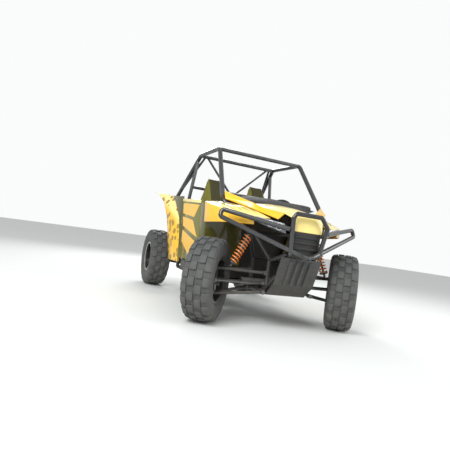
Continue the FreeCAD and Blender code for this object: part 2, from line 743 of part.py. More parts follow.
rack_r = val("rack_bore") + val("rack_wall")
rack = Part.makeCylinder(rack_r, 750, Vector(-375, RACK_Y, AXLE_Z + 7), Vector(1, 0, 0))
rack = rack.cut(Part.makeCylinder(val("rack_bore"), 760, Vector(-380, RACK_Y, AXLE_Z + 7),
                                  Vector(1, 0, 0)))
saddles = [block((side * 200, RACK_Y, 372), (24, 70, 50)) for side in (1, -1)]
saddle_bar = rod((-250, RACK_Y, RAIL_Z + 8), (250, RACK_Y, RAIL_Z + 8), 12)
rack_solid = weld([rack] + [s.cut(Part.makeCylinder(rack_r - 1, 760,
                  Vector(-380, RACK_Y, AXLE_Z + 7), Vector(1, 0, 0))) for s in saddles])
rack_solid = weld([rack_solid, saddle_bar]).cut(main_frame_shape)
feature("steering_rack", [biggest(rack_solid)])

# ------------------------------------------------------------------ steering wheel
WHEEL_AT = Vector(300, -430, 1180)
LEAN = Vector(0, math.cos(math.radians(30)), math.sin(math.radians(30)))
doc.recompute()
column = rod(tuple(WHEEL_AT - LEAN * 200), tuple(WHEEL_AT - LEAN * 36), 18)
feature("steering_column", [trim(column, dash.Shape)])
ring = Part.makeTorus(165, 14)
spokes = [ring, Part.makeCylinder(38, 40, Vector(0, 0, -20 - 16 + GAP), Vector(0, 0, 1))]
for angle in (-15, 90, 195):
    spoke = block((85, 0, 0), (160, 26, 10))
    spoke.rotate(Vector(), Vector(0, 0, 1), angle)
    spokes.append(spoke)
steering = feature("steering_wheel", [weld(spokes)])
steering.Placement = Placement(WHEEL_AT, Rotation(Vector(1, 0, 0), Vector(1, 0, 0)))
turn = Rotation(Vector(1, 0, 0), -60)
steering.Placement = Placement(WHEEL_AT, turn)

# ------------------------------------------------------------------ rear suspension
def beam(start, end, half_w, half_h):
    """A tapered box beam between two points, upright in Z."""
    start, end = Vector(*start), Vector(*end)
    along = (end - start).normalize()
    across = along.cross(Vector(0, 0, 1)).normalize()
    up = across.cross(along)
    rings = []
    for point, scale in ((start, 0.75), (end, 1.0)):
        rings.append([point + across * a * half_w * scale + up * b * half_h * scale
                      for a, b in ((-1, -1), (1, -1), (1, 1), (-1, 1))])
    loops = [rings[0][::-1], rings[1]]
    for i in range(4):
        j = (i + 1) % 4
        loops.append([rings[0][i], rings[0][j], rings[1][j], rings[1][i]])
    return facets(loops)


for side, name in ((1, "left"), (-1, "right")):
    hub = rod((side * 585, AXLE_Y, AXLE_Z), (side * 660, AXLE_Y, AXLE_Z), 55)
    spindle = rod((side * 650, AXLE_Y, AXLE_Z), (side * (HUB_X + 50), AXLE_Y, AXLE_Z),
                  val("spindle_radius"))
    trailing = beam((side * 300, 520, 395), (side * 592, 1130, 395), 26, 44)
    bush = rod((side * 216, 520, 395), (side * 345, 520, 395), 33)
    caliper = block((side * 700, AXLE_Y - 112, AXLE_Z), (110, 50, 100))
    slot = block((side * (HUB_X - 7), AXLE_Y - 90, AXLE_Z), (17, 140, 160))
    caliper = caliper.cut(slot)
    holder = block((side * 652, AXLE_Y - 70, AXLE_Z), (16, 120, 60))
    lugs = block((side * 500, 900, 452), (60, 60, 60))
    arm = weld([trailing, hub, spindle, bush, caliper, holder, lugs])
    arm = arm.cut(rod((side * 100, AXLE_Y, AXLE_Z), (side * 590, AXLE_Y, AXLE_Z), 41))
    arm = biggest(arm.cut(main_frame_shape))
    rods = []
    for z, inner in ((352, 350), (438, 470)):
        link = rod((side * 150, 1345, inner), (side * 610, 1190, z), 12)
        rods.append(biggest(link.cut(main_frame_shape).cut(arm)))
    feature(f"rear_arms_{name}", [arm] + rods)

# ------------------------------------------------------------------ shock absorbers
SHOCKS = [("front", (540, FRONT, 532), (374, FRONT, 880)),
          ("rear", (500, 900, 486), (414, 770, 990))]
dampers, springs = [], []
for place, low, high in SHOCKS:
    for side in (1, -1):
        foot, head = Vector(*flip(low, side)), Vector(*flip(high, side))
        along = head - foot
        unit = Vector(along).normalize()
        length = along.Length
        core = weld([
            Part.makeCylinder(11, length, foot, unit),
            Part.makeCylinder(val("damper_radius"), length * 0.42, foot + unit * length * 0.5,
                              unit),
            Part.makeCylinder(val("spring_radius"), 8, foot + unit * (length * 0.10), unit),
            Part.makeCylinder(val("spring_radius"), 8, foot + unit * (length * 0.88), unit)])
        cut_by = [main_frame_shape]
        for tool in cut_by:
            core = biggest(core.cut(tool))
        dampers.append(core)
        a = length * 0.10 + 8 + 0.0
        b = length * 0.88
        sleeve = Part.makeCylinder(val("spring_radius"), b - a, foot + unit * a, unit)
        sleeve = sleeve.cut(Part.makeCylinder(val("spring_radius") - 10, b - a,
                                              foot + unit * a, unit))
        springs.append(sleeve)
feature("shock_absorbers", dampers)
feature("shock_springs", springs)

# ------------------------------------------------------------------ check and export
doc.recompute()
for obj in doc.Objects:
    if "Invalid" in obj.State or "Error" in obj.State:
        raise RuntimeError(f"{obj.Label}: {obj.State}")
labels = [obj.Label for obj in NODES]
if len(labels) != len(set(labels)):
    raise RuntimeError("two sub-parts share a label")
for obj in NODES:
    if obj.Shape.isNull() or not obj.Shape.isValid() or not obj.Shape.Solids:
        raise RuntimeError(f"{obj.Label}: bad shape")
    obj.Shape.exportStep(f"parts/{obj.Label}.step")
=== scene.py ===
import bmesh
import bpy
import json
import math
from mathutils import Matrix, Vector
from mathutils.bvhtree import BVHTree


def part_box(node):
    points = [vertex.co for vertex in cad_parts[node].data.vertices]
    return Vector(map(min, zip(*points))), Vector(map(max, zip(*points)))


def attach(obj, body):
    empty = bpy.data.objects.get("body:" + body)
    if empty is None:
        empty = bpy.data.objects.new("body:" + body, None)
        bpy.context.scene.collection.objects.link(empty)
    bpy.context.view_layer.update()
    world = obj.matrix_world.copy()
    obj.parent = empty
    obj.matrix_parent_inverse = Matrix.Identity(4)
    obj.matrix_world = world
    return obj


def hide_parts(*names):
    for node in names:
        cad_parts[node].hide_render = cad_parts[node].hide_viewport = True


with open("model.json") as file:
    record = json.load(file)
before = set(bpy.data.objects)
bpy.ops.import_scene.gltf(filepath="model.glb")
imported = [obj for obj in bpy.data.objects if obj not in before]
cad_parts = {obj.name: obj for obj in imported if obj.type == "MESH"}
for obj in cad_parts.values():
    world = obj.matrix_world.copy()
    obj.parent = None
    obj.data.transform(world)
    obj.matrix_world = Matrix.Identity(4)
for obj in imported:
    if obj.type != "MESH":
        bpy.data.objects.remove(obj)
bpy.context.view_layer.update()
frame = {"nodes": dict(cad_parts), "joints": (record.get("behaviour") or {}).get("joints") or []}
nodes = frame["nodes"]

# ---- Chassis tubes -----------------------------------------------------------------
# The frame, roll cage and bumper are bent steel tube, welded and powder coated in
# satin black. Stone chips show paler metal at the edges, and trail dust sits low down.


def new_group(name, sockets_in, sockets_out):
    group = bpy.data.node_groups.new(name, "ShaderNodeTree")
    for label, kind, value in sockets_in:
        socket = group.interface.new_socket(label, in_out="INPUT", socket_type=kind)
        if value is not None:
            socket.default_value = value
    for label, kind in sockets_out:
        group.interface.new_socket(label, in_out="OUTPUT", socket_type=kind)
    return group, group.nodes.new("NodeGroupInput"), group.nodes.new("NodeGroupOutput")


def math_node(tree, operation, first, second=None, clamp=False):
    node = tree.nodes.new("ShaderNodeMath")
    node.operation = operation
    node.use_clamp = clamp
    for index, value in enumerate((first, second)):
        if value is None:
            continue
        if isinstance(value, (int, float)):
            node.inputs[index].default_value = value
        else:
            tree.links.new(value, node.inputs[index])
    return node.outputs[0]


def grain_group():
    """Fine moulded or sprayed texture, and broad patches of tone."""
    group, ins, outs = new_group(
        "Grain", [("Vector", "NodeSocketVector", None), ("Scale", "NodeSocketFloat", 300.0)],
        [("Height", "NodeSocketFloat"), ("Tone", "NodeSocketFloat")])
    fine = group.nodes.new("ShaderNodeTexNoise")
    broad = group.nodes.new("ShaderNodeTexNoise")
    broad.inputs["Scale"].default_value = 7.0
    fine.inputs["Detail"].default_value = 4.0
    for node in (fine, broad):
        group.links.new(ins.outputs["Vector"], node.inputs["Vector"])
    group.links.new(ins.outputs["Scale"], fine.inputs["Scale"])
    group.links.new(fine.outputs["Fac"], outs.inputs["Height"])
    group.links.new(broad.outputs["Fac"], outs.inputs["Tone"])
    return group


def dust_group():
    """Pale trail dust, thick near the ground and thin above a height."""
    group, ins, outs = new_group(
        "TrailDust", [("Vector", "NodeSocketVector", None), ("Top", "NodeSocketFloat", 0.8),
                      ("Amount", "NodeSocketFloat", 0.3)], [("Mask", "NodeSocketFloat")])
    split = group.nodes.new("ShaderNodeSeparateXYZ")
    noise = group.nodes.new("ShaderNodeTexNoise")
    noise.inputs["Scale"].default_value = 14.0
    noise.inputs["Detail"].default_value = 6.0
    group.links.new(ins.outputs["Vector"], split.inputs[0])
    group.links.new(ins.outputs["Vector"], noise.inputs["Vector"])
    low = math_node(group, "SUBTRACT", ins.outputs["Top"], split.outputs["Z"])
    low = math_node(group, "MULTIPLY", low, 1.4, clamp=True)
    patch = math_node(group, "MULTIPLY", low, noise.outputs["Fac"])
    mask = math_node(group, "MULTIPLY", patch, ins.outputs["Amount"], clamp=True)
    group.links.new(mask, outs.inputs["Mask"])
    return group


def wear_group():
    """Rubbed outer edges, broken up by noise."""
    group, ins, outs = new_group(
        "EdgeWear", [("Vector", "NodeSocketVector", None), ("Amount", "NodeSocketFloat", 0.5)],
        [("Mask", "NodeSocketFloat")])
    shape = group.nodes.new("ShaderNodeNewGeometry")
    noise = group.nodes.new("ShaderNodeTexNoise")
    noise.inputs["Scale"].default_value = 45.0
    group.links.new(ins.outputs["Vector"], noise.inputs["Vector"])
    edge = math_node(group, "SUBTRACT", shape.outputs["Pointiness"], 0.53)
    edge = math_node(group, "MULTIPLY", edge, 14.0, clamp=True)
    edge = math_node(group, "MULTIPLY", edge, noise.outputs["Fac"])
    mask = math_node(group, "MULTIPLY", edge, ins.outputs["Amount"], clamp=True)
    group.links.new(mask, outs.inputs["Mask"])
    return group


GRAIN, DUST, WEAR = grain_group(), dust_group(), wear_group()
DUST_COLOUR = (0.30, 0.27, 0.21, 1)


def mix_colour(tree, factor, first, second):
    node = tree.nodes.new("ShaderNodeMix")
    node.data_type = "RGBA"
    for socket, value in ((node.inputs[0], factor), (node.inputs[6], first),
                          (node.inputs[7], second)):
        if isinstance(value, (tuple, float, int)):
            socket.default_value = value
        else:
            tree.links.new(value, socket)
    return node.outputs[2]


def finish(name, colour, rough, metal=0.0, coat=0.0, grain=300.0, depth=0.0006, wear=0.4,
           worn=(0.35, 0.35, 0.34), dust=0.3, dust_top=0.9, pattern=None, vary=0.18):
    """One surface: toned colour, optional pattern, worn edges, dust, and fine relief."""
    material = bpy.data.materials.new(name)
    material.use_nodes = True
    tree = material.node_tree
    surface = tree.nodes["Principled BSDF"]
    place = tree.nodes.new("ShaderNodeTexCoord").outputs["Object"]
    groups = {}
    for key, group in (("grain", GRAIN), ("dust", DUST), ("wear", WEAR)):
        groups[key] = tree.nodes.new("ShaderNodeGroup")
        groups[key].node_tree = group
        tree.links.new(place, groups[key].inputs["Vector"])
    groups["grain"].inputs["Scale"].default_value = grain
    groups["dust"].inputs["Amount"].default_value = dust
    groups["dust"].inputs["Top"].default_value = dust_top
    groups["wear"].inputs["Amount"].default_value = wear
    tone = groups["grain"].outputs["Tone"]
    darker = tuple(c * (1 - vary) for c in colour) + (1,)
    paler = tuple(min(1, c * (1 + vary)) for c in colour) + (1,)
    shade = mix_colour(tree, tone, darker, paler)
    if pattern:
        shade = pattern(tree, place, shade)
    shade = mix_colour(tree, groups["wear"].outputs["Mask"], shade, tuple(worn) + (1,))
    shade = mix_colour(tree, groups["dust"].outputs["Mask"], shade, DUST_COLOUR)
    tree.links.new(shade, surface.inputs["Base Color"])
    spread = math_node(tree, "MULTIPLY", tone, 0.22)
    level = math_node(tree, "ADD", spread, rough - 0.11)
    level = math_node(tree, "ADD", level, math_node(tree, "MULTIPLY",
                      groups["dust"].outputs["Mask"], 0.5), clamp=True)
    tree.links.new(level, surface.inputs["Roughness"])
    surface.inputs["Metallic"].default_value = metal
    surface.inputs["Coat Weight"].default_value = coat
    surface.inputs["Coat Roughness"].default_value = 0.08
    relief = tree.nodes.new("ShaderNodeBump")
    relief.inputs["Strength"].default_value = 0.5
    relief.inputs["Distance"].default_value = depth
    tree.links.new(groups["grain"].outputs["Height"], relief.inputs["Height"])
    tree.links.new(relief.outputs["Normal"], surface.inputs["Normal"])
    return material


def paint_nodes(material, names):
    for name in names:
        mesh = nodes[name].data
        mesh.materials.clear()
        mesh.materials.append(material)
        if hasattr(mesh, "set_sharp_from_angle"):
            mesh.shade_smooth()
            mesh.set_sharp_from_angle(angle=math.radians(32))


tube_black = finish("tube_black", (0.012, 0.012, 0.013), 0.34, coat=0.5, depth=0.0003,
                    worn=(0.22, 0.22, 0.23), dust=0.35, dust_top=0.7)
paint_nodes(tube_black, ["main_frame", "cage_side_left", "cage_side_right", "cage_posts",
                         "cage_bars", "bumper_hoop", "bumper_wings", "panel_stays"])

# ---- Moulded body panels ------------------------------------------------------------
# Hood, wings, fins and side panels are moulded plastic, coloured all through and glossy,
# with softly rounded edges. Each hangs on stays behind its edge.


def cad_copy(names, label):
    """A merged, closed copy of CAD shapes as a new object."""
    work = bmesh.new()
    for name in names:
        work.from_mesh(nodes[name].data)
    bmesh.ops.remove_doubles(work, verts=work.verts, dist=0.00002)
    bmesh.ops.dissolve_limit(work, angle_limit=math.radians(1.0), verts=work.verts,
                             edges=work.edges)
    mesh = bpy.data.meshes.new(label)
    work.to_mesh(mesh)
    work.free()
    piece = bpy.data.objects.new(label, mesh)
    bpy.context.scene.collection.objects.link(piece)
    return piece


def applied(piece):
    """Turns an object's modifiers into plain mesh."""
    graph = bpy.context.evaluated_depsgraph_get()
    mesh = bpy.data.meshes.new_from_object(piece.evaluated_get(graph))
    piece.modifiers.clear()
    piece.data = mesh
    return piece


def soften(piece, width=0.003, angle=28, segments=2):
    bevel = piece.modifiers.new("edges", "BEVEL")
    bevel.width = width
    bevel.segments = segments
    bevel.limit_method = "ANGLE"
    bevel.angle_limit = math.radians(angle)
    applied(piece)
    piece.data.shade_smooth()
    piece.data.set_sharp_from_angle(angle=math.radians(38))
    return piece


def wear_on(piece, material, body="chassis", stands_for=()):
    piece.data.materials.clear()
    piece.data.materials.append(material)
    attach(piece, body)
    if stands_for:
        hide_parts(*stands_for)
    return piece


def panel(name, material, body="chassis", width=0.003):
    piece = soften(cad_copy([name], name + "_panel"), width)
    return wear_on(piece, material, body, [name])


ORANGE = (0.93, 0.50, 0.0)
PALE = (0.97, 0.78, 0.26)
# Painted shade: a darker copy of the door's olive, for arch panels and scoops that sit in shadow.
SHADED_OLIVE = (0.060, 0.055, 0.0)
MID_OLIVE = (0.13, 0.12, 0.0)


def upward(tree, low, high):
    """A mask that is 1 where the surface faces up."""
    normal = tree.nodes.new("ShaderNodeNewGeometry").outputs["Normal"]
    split = tree.nodes.new("ShaderNodeSeparateXYZ")
    tree.links.new(normal, split.inputs[0])
    ramp = tree.nodes.new("ShaderNodeMapRange")
    ramp.inputs["From Min"].default_value = low
    ramp.inputs["From Max"].default_value = high
    tree.links.new(split.outputs["Z"], ramp.inputs["Value"])
    return ramp.outputs["Result"]


# Painted highlight: faces that point up take the pale colour, standing in for light from above.
def painted_top_highlight(tree, place, shade):
    return mix_colour(tree, upward(tree, 0.45, 0.6), shade, PALE + (1,))


def mud_spots_and_top_highlight(tree, place, shade):
    """Rounded mud spots over a panel whose upward-facing side gets a painted highlight in the pale
    colour.
    """
    cells = tree.nodes.new("ShaderNodeTexVoronoi")
    cells.inputs["Scale"].default_value = 11.0
    tree.links.new(place, cells.inputs["Vector"])
    spot = math_node(tree, "LESS_THAN", cells.outputs["Distance"], 0.40)
    # Painted highlight: faces that point up take the pale colour.
    base = mix_colour(tree, upward(tree, 0.15, 0.4), shade, PALE + (1,))
    return mix_colour(tree, spot, base, (0.36, 0.21, 0.005, 1))


def olive_bounce_highlight(tree, place, shade):
    """A painted highlight: a paler arc low on the panel, where light comes off the trail."""
    split = tree.nodes.new("ShaderNodeSeparateXYZ")
    tree.links.new(place, split.inputs[0])
    fade = tree.nodes.new("ShaderNodeMapRange")
    fade.inputs["From Min"].default_value = 0.62
    fade.inputs["From Max"].default_value = 0.56
    tree.links.new(split.outputs["Z"], fade.inputs["Value"])
    return mix_colour(tree, fade.outputs["Result"], shade, MID_OLIVE + (1,))


gloss = {"coat": 0.6, "grain": 600.0, "depth": 0.0001, "wear": 0.25, "dust": 0.22,
         "dust_top": 0.75, "vary": 0.05}
orange_gloss = finish("orange_gloss", ORANGE, 0.33, worn=(0.97, 0.8, 0.4), **gloss)
pale_gloss = finish("pale_gloss", PALE, 0.30, worn=(1, 0.9, 0.7), **gloss)
wing_gloss = finish("wing_gloss", ORANGE, 0.32, worn=(1, 0.9, 0.6), pattern=painted_top_highlight, **gloss)
spotted = finish("spotted", ORANGE, 0.34, worn=(1, 0.9, 0.6), pattern=mud_spots_and_top_highlight, **gloss)
# Arch panels and side scoops: olive in painted shade, with a painted highlight low down.
shaded_olive_gloss = finish("shaded_olive_gloss", SHADED_OLIVE, 0.38, worn=(0.3, 0.28, 0.1), pattern=olive_bounce_highlight,
                     **gloss)
door_olive = finish("door_olive", MID_OLIVE, 0.38, worn=(0.3, 0.28, 0.1), **gloss)
panel("hood", pale_gloss)
panel("hood_fins", orange_gloss)
for side in ("left", "right"):
    panel(f"front_fender_{side}", wing_gloss)
    panel(f"rear_fender_{side}", spotted)
    panel(f"arch_panel_{side}", shaded_olive_gloss, width=0.004)
    panel(f"side_scoop_{side}", shaded_olive_gloss)
    panel(f"door_{side}", door_olive, f"door_{side}", 0.008)

# ---- Black plastic and sheet ----------------------------------------------------------
# The dash, cowl, grille and tub are black plastic with a moulded grain, and the belly
# plate, sills and load bed are folded sheet with a rough black coat.
grained = finish("grained_black", (0.014, 0.014, 0.014), 0.55, grain=900.0, depth=0.0008,
                 worn=(0.10, 0.10, 0.10), dust=0.3)
coated = finish("coated_sheet", (0.018, 0.018, 0.018), 0.5, grain=500.0, depth=0.0006,
                worn=(0.3, 0.3, 0.3), dust=0.5, dust_top=0.7)
for name, width in (("dashboard", 0.012), ("cowl", 0.002), ("nose_grille", 0.006),
                    ("cabin_tub", 0.002), ("seat_risers", 0.006)):
    panel(name, grained, width=width)
for name, width in (("skid_plate", 0.002), ("sills", 0.008), ("cargo_bed", 0.003)):
    panel(name, coated, width=width)


# ---- Ribs, slats and louvres ------------------------------------------------------------
# Pressed ribs stiffen the bash plate, slats guard the grille, and long louvres vent the
# tops of the front wings. Ribs and slats are rows of one bar at an even pitch.


def geometry_tree(name, inputs):
    tree = bpy.data.node_groups.new(name, "GeometryNodeTree")
    for label, kind in inputs:
        tree.interface.new_socket(label, in_out="INPUT", socket_type=kind)
    tree.interface.new_socket("Geometry", in_out="OUTPUT", socket_type="NodeSocketGeometry")
    return tree, tree.nodes.new("NodeGroupInput"), tree.nodes.new("NodeGroupOutput")


def close_tree(tree, ins, outs, geometry):
    """Ends a tree in plain mesh with its material."""
    real = tree.nodes.new("GeometryNodeRealizeInstances")
    paint = tree.nodes.new("GeometryNodeSetMaterial")
    tree.links.new(geometry, real.inputs["Geometry"])
    tree.links.new(real.outputs["Geometry"], paint.inputs["Geometry"])
    tree.links.new(ins.outputs["Material"], paint.inputs["Material"])
    tree.links.new(paint.outputs["Geometry"], outs.inputs["Geometry"])


def row_tree():
    """Copies of one piece at an even step along a line."""
    tree, ins, outs = geometry_tree("RowOfCopies", [
        ("Geometry", "NodeSocketGeometry"), ("Count", "NodeSocketInt"),
        ("Step", "NodeSocketVector"), ("Material", "NodeSocketMaterial")])
    line = tree.nodes.new("GeometryNodeMeshLine")
    copies = tree.nodes.new("GeometryNodeInstanceOnPoints")
    tree.links.new(ins.outputs["Count"], line.inputs["Count"])
    tree.links.new(ins.outputs["Step"], line.inputs["Offset"])
    tree.links.new(line.outputs["Mesh"], copies.inputs["Points"])
    tree.links.new(ins.outputs["Geometry"], copies.inputs["Instance"])
    close_tree(tree, ins, outs, copies.outputs["Instances"])
    return tree


def ring_tree():
    """Copies of one piece turned evenly about the X axis."""
    tree, ins, outs = geometry_tree("RingOfCopies", [
        ("Geometry", "NodeSocketGeometry"), ("Count", "NodeSocketInt"),
        ("Material", "NodeSocketMaterial")])
    line = tree.nodes.new("GeometryNodeMeshLine")
    line.inputs["Offset"].default_value = (0, 0, 0)
    copies = tree.nodes.new("GeometryNodeInstanceOnPoints")
    index = tree.nodes.new("GeometryNodeInputIndex").outputs[0]
    step = math_node(tree, "DIVIDE", 2 * math.pi, ins.outputs["Count"])
    angle = tree.nodes.new("ShaderNodeCombineXYZ")
    tree.links.new(math_node(tree, "MULTIPLY", index, step), angle.inputs["X"])
    tree.links.new(ins.outputs["Count"], line.inputs["Count"])
    tree.links.new(line.outputs["Mesh"], copies.inputs["Points"])
    tree.links.new(ins.outputs["Geometry"], copies.inputs["Instance"])
    tree.links.new(angle.outputs["Vector"], copies.inputs["Rotation"])
    close_tree(tree, ins, outs, copies.outputs["Instances"])
    return tree


ROW, RING = row_tree(), ring_tree()


def run_tree(piece, tree, **values):
    """Runs a geometry tree on a piece and keeps the plain mesh."""
    modifier = piece.modifiers.new("copies", "NODES")
    modifier.node_group = tree
    for item in tree.interface.items_tree:
        if item.in_out == "INPUT" and item.name in values:
            modifier[item.identifier] = values[item.name]
    return applied(piece)


def solid(label, corners, faces):
    mesh = bpy.data.meshes.new(label)
    mesh.from_pydata([Vector(c) for c in corners], [], faces)
    piece = bpy.data.objects.new(label, mesh)
    bpy.context.scene.collection.objects.link(piece)
    work = bmesh.new()
    work.from_mesh(mesh)
    bmesh.ops.recalc_face_normals(work, faces=work.faces)
    work.to_mesh(mesh)
    work.free()
    return piece


BAR_FACES = [(0, 1, 2, 3), (7, 6, 5, 4), (0, 4, 5, 1), (1, 5, 6, 2), (2, 6, 7, 3), (3, 7, 4, 0)]


def bar(label, start, end, across, out):
    """A straight bar from start to end; across and out are its half width and height."""
    start, end, across, out = (Vector(v) for v in (start, end, across, out))
    corners = []
    for point in (start, end):
        corners += [point - across, point + across, point + across * 0.7 + out,
                    point - across * 0.7 + out]
    return solid(label, corners, BAR_FACES)


rib = bar("bash_ribs", (-0.105, -1.5165, 0.668), (-0.105, -1.4325, 0.438), (0.017, 0, 0),
          (0, -0.011, -0.004))
run_tree(rib, ROW, Count=4, Step=(0.07, 0, 0), Material=coated)
wear_on(soften(rib, 0.003), coated)

slat = bar("grille_slats", (-0.128, -1.5225, 0.735), (0.128, -1.5225, 0.735), (0, -0.002, 0.014),
           (0, -0.010, 0.001))
run_tree(slat, ROW, Count=4, Step=(0, -0.0065, 0.052), Material=grained)
wear_on(soften(slat, 0.003), grained)

dark_louvre = finish("dark_louvre", (0.16, 0.13, 0.01), 0.45, dust=0.1, vary=0.1)
for side, sign in (("left", 1), ("right", -1)):
    skin = BVHTree.FromObject(bpy.data.objects[f"front_fender_{side}_panel"],
                              bpy.context.evaluated_depsgraph_get())
    corners, faces = [], []
    for k in range(4):
        inner, outer = 0.585 - 0.028 * k, 0.700 - 0.030 * k
        start = Vector((sign * (0.692 - 0.046 * k), -0.712, 0))
        end = Vector((sign * (0.560 - 0.062 * k), -1.13 - 0.02 * k, 0))
        across = Vector((sign * 0.0085, 0.004, 0))
        base = len(corners)
        steps = 10
        for i in range(steps + 1):
            t = i / steps
            for way in (-1, 1):
                spot = start.lerp(end, t) + across * way * (1 - 0.9 * t)
                hit = skin.ray_cast(Vector((spot.x, spot.y, 1.6)), Vector((0, 0, -1)))[0]
                height = hit.z if hit else 1.1
                corners.append((spot.x, spot.y, height + 0.0035))
                corners.append((spot.x, spot.y, height - 0.002))
        for i in range(steps):
            a = base + i * 4
            faces += [(a, a + 2, a + 6, a + 4), (a + 1, a + 5, a + 7, a + 3),
                      (a, a + 4, a + 5, a + 1), (a + 2, a + 3, a + 7, a + 6)]
        last = base + steps * 4
        faces += [(base, base + 1, base + 3, base + 2), (last, last + 2, last + 3, last + 1)]
    wear_on(solid(f"louvres_{side}", corners, faces), dark_louvre)

# ---- Door trim -------------------------------------------------------------------------
# Each half door has a pale cap rail and angular bands of yellow film on its outer skin.


def speckle(tree, place, shade):
    cells = tree.nodes.new("ShaderNodeTexVoronoi")
    cells.inputs["Scale"].default_value = 46.0
    tree.links.new(place, cells.inputs["Vector"])
    dots = math_node(tree, "LESS_THAN", cells.outputs["Distance"], 0.13)
    return mix_colour(tree, dots, shade, (0.30, 0.16, 0.0, 1))


film = finish("door_film", ORANGE, 0.33, pattern=speckle, **{**gloss, "wear": 0.0})
BANDS = [
    [(0.250, 1.165), (-0.405, 1.125), (-0.265, 0.985), (0.205, 1.035)],
    [(0.200, 0.995), (-0.235, 0.950), (-0.455, 0.760), (0.150, 0.880)],
    [(0.140, 0.830), (-0.470, 0.700), (-0.535, 0.535), (-0.200, 0.560), (0.120, 0.690)],
]
CAP = [(0.2865, 1.2235), (-0.4445, 1.1735), (-0.438, 1.142), (0.280, 1.190)]


def skin_plates(label, outlines, x_in, x_out):
    corners, faces = [], []
    for outline in outlines:
        base, count = len(corners), len(outline)
        corners += [(x_in, y, z) for y, z in outline] + [(x_out, y, z) for y, z in outline]
        faces.append(tuple(range(base, base + count)))
        faces.append(tuple(range(base + 2 * count - 1, base + count - 1, -1)))
        for i in range(count):
            j = (i + 1) % count
            faces.append((base + i, base + count + i, base + count + j, base + j))
    return solid(label, corners, faces)


for side, sign in (("left", 1), ("right", -1)):
    low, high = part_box(f"door_{side}")
    face = high.x if sign > 0 else low.x
    plates = skin_plates(f"door_bands_{side}", BANDS, face - sign * 0.002, face + sign * 0.0012)
    wear_on(plates, film, f"door_{side}")
    cap = skin_plates(f"door_cap_{side}", [CAP], face - sign * 0.004, face + sign * 0.005)
    wear_on(soften(cap, 0.002), pale_gloss, f"door_{side}")

# ---- Wheels -----------------------------------------------------------------------------
# Tall mud tyres: a moulded carcass with four staggered rows of square lugs, the outer rows
# wrapping over the shoulder. The black cast rims have a paler bolted ring at the bead.
tyre_low, tyre_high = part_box("tyre_rear_left")
TYRE_R = (tyre_high.z - tyre_low.z) / 2
LUG = 0.017
PITCHES = 18


rubber = finish("tyre_rubber", (0.048, 0.053, 0.056), 0.72, grain=260.0, depth=0.0012,
                wear=0.5, worn=(0.16, 0.17, 0.175), dust=0.35, dust_top=0.9, vary=0.25)
rim_black = finish("rim_black", (0.010, 0.010, 0.011), 0.33, coat=0.6, depth=0.0002,
                   worn=(0.3, 0.3, 0.3), dust=0.25, dust_top=0.6)
bead_grey = finish("bead_grey", (0.50, 0.50, 0.50), 0.33, metal=0.9, depth=0.0003, dust=0.2)

CARCASS = [(-0.105, 0.2035), (-0.1055, 0.214), (-0.128, 0.236), (-0.1365, 0.270),
           (-0.1405, 0.300), (-0.1395, 0.318), (-0.1365, 0.335), (-0.129, 0.352),
           (-0.112, TYRE_R - 0.026), (-0.060, TYRE_R - LUG), (0, TYRE_R - LUG + 0.001)]
CARCASS += [(-x, r) for x, r in reversed(CARCASS[:-1])]


def turned(label, profile, segments):
    """A closed ring turned about the X axis from (x, radius) points."""
    corners, faces, count = [], [], len(profile)
    for s in range(segments):
        angle = 2 * math.pi * s / segments
        corners += [(x, r * math.cos(angle), r * math.sin(angle)) for x, r in profile]
    for s in range(segments):
        here, there = s * count, (s + 1) % segments * count
        for i in range(count):
            j = (i + 1) % count
            faces.append((here + i, here + j, there + j, there + i))
    return solid(label, corners, faces)


def lug(work, section, middle, length):
    """One lug: a section of (x, base radius, top radius) swept through an angle."""
    rings = []
    for angle, draft in ((middle - length / 2, 1), (middle + length / 2, -1)):
        lower = [work.verts.new((x, b * math.cos(angle), b * math.sin(angle)))
                 for x, b, t in section]
        slant = angle + draft * 0.012
        upper = [work.verts.new((x, t * math.cos(slant), t * math.sin(slant)))
                 for x, b, t in reversed(section)]
        rings.append(lower + upper)
    count = len(rings[0])
    work.faces.new(rings[0])
    work.faces.new(rings[1][::-1])
    for i in range(count):
        j = (i + 1) % count
        work.faces.new((rings[0][j], rings[0][i], rings[1][i], rings[1][j]))


def lug_pitch(label):
    work = bmesh.new()
    step = 2 * math.pi / PITCHES
    base = TYRE_R - LUG - 0.004
    for sign in (1, -1):
        start = 0.0 if sign > 0 else step / 2
        lug(work, [(sign * 0.006, base, TYRE_R - 0.001), (sign * 0.062, base, TYRE_R - 0.001)],
            start, step * 0.60)
        shoulder = [(sign * 0.072, base - 0.002, TYRE_R - 0.003),
                    (sign * 0.116, base - 0.022, TYRE_R - 0.014),
                    (sign * 0.1335, base - 0.052, TYRE_R - 0.040),
                    (sign * 0.1385, base - 0.086, TYRE_R - 0.094)]
        lug(work, shoulder, start + step / 2, step * 0.62)
    bmesh.ops.recalc_face_normals(work, faces=work.faces)
    mesh = bpy.data.meshes.new(label)
    work.to_mesh(mesh)
    work.free()
    piece = bpy.data.objects.new(label, mesh)
    bpy.context.scene.collection.objects.link(piece)
    return soften(piece, 0.004, segments=2)


def join(label, pieces):
    """Several pieces as one mesh."""
    work = bmesh.new()
    for piece in pieces:
        work.from_mesh(piece.data)
    mesh = bpy.data.meshes.new(label)
    work.to_mesh(mesh)
    work.free()
    mesh.shade_smooth()
    mesh.set_sharp_from_angle(angle=math.radians(35))
    for piece in pieces:
        bpy.data.objects.remove(piece)
    whole = bpy.data.objects.new(label, mesh)
    bpy.context.scene.collection.objects.link(whole)
    return whole


tread = run_tree(lug_pitch("tread"), RING, Count=PITCHES, Material=rubber)
tyre_master = join("tyre_master", [turned("carcass", CARCASS, 144), tread])

